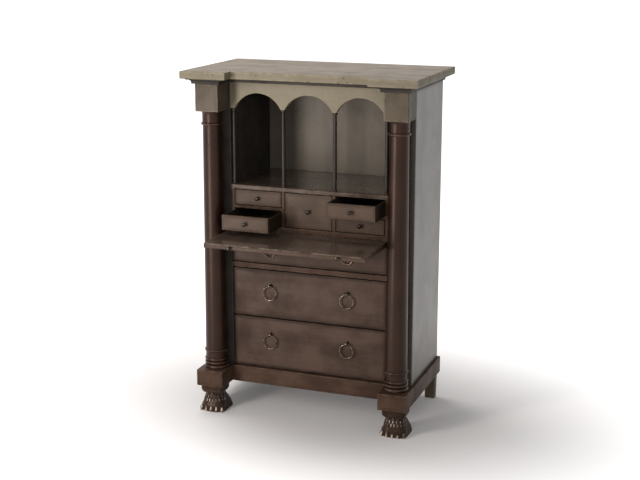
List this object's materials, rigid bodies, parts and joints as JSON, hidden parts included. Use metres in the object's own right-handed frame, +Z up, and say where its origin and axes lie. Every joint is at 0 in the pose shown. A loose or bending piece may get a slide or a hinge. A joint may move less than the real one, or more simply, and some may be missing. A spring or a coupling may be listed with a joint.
{
  "type": "escritoire",
  "caption": "Tall columned writing desk with an arcaded gallery over small drawers, a pull-out writing slide, long drawers with ring pulls, and carved paw feet.",
  "frame": {"origin": "on the floor, under the middle of the outline", "axes": "+X to the right seen from the front, +Y to the back, +Z up"},
  "size_m": [0.9, 0.643, 1.32],
  "materials": {
    "stained_wood": "dark stained hardwood, satin",
    "lining_wood": "plain brown secondary wood, matt",
    "antique_brass": "antique brass, worn",
    "dark_bronze": "dark bronze, satin"
  },
  "bodies": {
    "carcase": {"top_slab": "stained_wood", "sub_top": "stained_wood", "cornice_moulding": "stained_wood", "back_panel": "stained_wood", "stiles": "stained_wood", "side_panel_left": "stained_wood", "side_panel_right": "stained_wood", "column_left": "stained_wood", "column_right": "stained_wood", "paw_foot_left": "stained_wood", "paw_foot_right": "stained_wood", "capitals": "stained_wood", "plinths": "stained_wood", "base_front_rail": "stained_wood", "base_rails": "stained_wood", "bottom_board": "lining_wood", "corner_blocks": "lining_wood", "back_feet": "stained_wood", "drawer_rail": "stained_wood", "drawer_runners": "lining_wood", "slide_bed": "lining_wood", "nest_floor": "stained_wood", "nest_boards": "stained_wood", "gallery_shelf": "stained_wood", "gallery_linings": "stained_wood", "arcade_board": "stained_wood", "colonnettes": "stained_wood"},
    "slide": {"writing_slide": "stained_wood", "slide_knobs": "dark_bronze"},
    "small_drawer_upper_left": {"small_front_upper_left": "stained_wood", "small_box_upper_left": "lining_wood", "small_knob_upper_left": "dark_bronze"},
    "small_drawer_lower_left": {"small_front_lower_left": "stained_wood", "small_box_lower_left": "lining_wood", "small_knob_lower_left": "dark_bronze"},
    "small_drawer_centre": {"small_front_centre": "stained_wood", "small_box_centre": "lining_wood", "small_knob_centre": "dark_bronze"},
    "small_drawer_upper_right": {"small_front_upper_right": "stained_wood", "small_box_upper_right": "lining_wood", "small_knob_upper_right": "dark_bronze"},
    "small_drawer_lower_right": {"small_front_lower_right": "stained_wood", "small_box_lower_right": "lining_wood", "small_knob_lower_right": "dark_bronze"},
    "long_drawer_bottom": {"drawer_front_bottom": "stained_wood", "drawer_box_bottom": "lining_wood", "pull_posts_bottom": "antique_brass"},
    "long_drawer_middle": {"drawer_front_middle": "stained_wood", "drawer_box_middle": "lining_wood", "pull_posts_middle": "antique_brass"},
    "long_drawer_top": {"drawer_front_top": "stained_wood", "drawer_box_top": "lining_wood", "pull_posts_top": "antique_brass"},
    "ring_bottom_left_pull": {"ring_bottom_left": "antique_brass"},
    "ring_bottom_right_pull": {"ring_bottom_right": "antique_brass"},
    "ring_middle_left_pull": {"ring_middle_left": "antique_brass"},
    "ring_middle_right_pull": {"ring_middle_right": "antique_brass"},
    "ring_top_left_pull": {"ring_top_left": "antique_brass"},
    "ring_top_right_pull": {"ring_top_right": "antique_brass"}
  },
  "joints": [
    {"name": "slide_travel", "type": "slide", "parent": "carcase", "child": "slide", "axis": [0, 1, 0], "range_m": [0, 0.253]},
    {"name": "small_drawer_upper_left_travel", "type": "slide", "parent": "carcase", "child": "small_drawer_upper_left", "axis": [0, 1, 0], "range_m": [-0.22, 0]},
    {"name": "small_drawer_lower_left_travel", "type": "slide", "parent": "carcase", "child": "small_drawer_lower_left", "axis": [0, 1, 0], "range_m": [-0.096, 0.124]},
    {"name": "small_drawer_centre_travel", "type": "slide", "parent": "carcase", "child": "small_drawer_centre", "axis": [0, 1, 0], "range_m": [-0.22, 0]},
    {"name": "small_drawer_upper_right_travel", "type": "slide", "parent": "carcase", "child": "small_drawer_upper_right", "axis": [0, 1, 0], "range_m": [-0.109, 0.111]},
    {"name": "small_drawer_lower_right_travel", "type": "slide", "parent": "carcase", "child": "small_drawer_lower_right", "axis": [0, 1, 0], "range_m": [-0.22, 0]},
    {"name": "long_drawer_bottom_travel", "type": "slide", "parent": "carcase", "child": "long_drawer_bottom", "axis": [0, 1, 0], "range_m": [-0.23, 0]},
    {"name": "long_drawer_middle_travel", "type": "slide", "parent": "carcase", "child": "long_drawer_middle", "axis": [0, 1, 0], "range_m": [-0.23, 0]},
    {"name": "long_drawer_top_travel", "type": "slide", "parent": "carcase", "child": "long_drawer_top", "axis": [0, 1, 0], "range_m": [-0.23, 0]},
    {"name": "ring_bottom_left_swing", "type": "hinge", "parent": "long_drawer_bottom", "child": "ring_bottom_left_pull", "pos_m": [-0.155, -0.0625, 0.30553], "axis": [-1, 0, 0], "range_deg": [-6, 85]},
    {"name": "ring_bottom_right_swing", "type": "hinge", "parent": "long_drawer_bottom", "child": "ring_bottom_right_pull", "pos_m": [0.155, -0.0625, 0.30553], "axis": [-1, 0, 0], "range_deg": [-6, 85]},
    {"name": "ring_middle_left_swing", "type": "hinge", "parent": "long_drawer_middle", "child": "ring_middle_left_pull", "pos_m": [-0.155, -0.0625, 0.49966], "axis": [-1, 0, 0], "range_deg": [-6, 85]},
    {"name": "ring_middle_right_swing", "type": "hinge", "parent": "long_drawer_middle", "child": "ring_middle_right_pull", "pos_m": [0.155, -0.0625, 0.49966], "axis": [-1, 0, 0], "range_deg": [-6, 85]},
    {"name": "ring_top_left_swing", "type": "hinge", "parent": "long_drawer_top", "child": "ring_top_left_pull", "pos_m": [-0.155, -0.0625, 0.67057], "axis": [-1, 0, 0], "range_deg": [-6, 85]},
    {"name": "ring_top_right_swing", "type": "hinge", "parent": "long_drawer_top", "child": "ring_top_right_pull", "pos_m": [0.155, -0.0625, 0.67057], "axis": [-1, 0, 0], "range_deg": [-6, 85]}
  ]
}
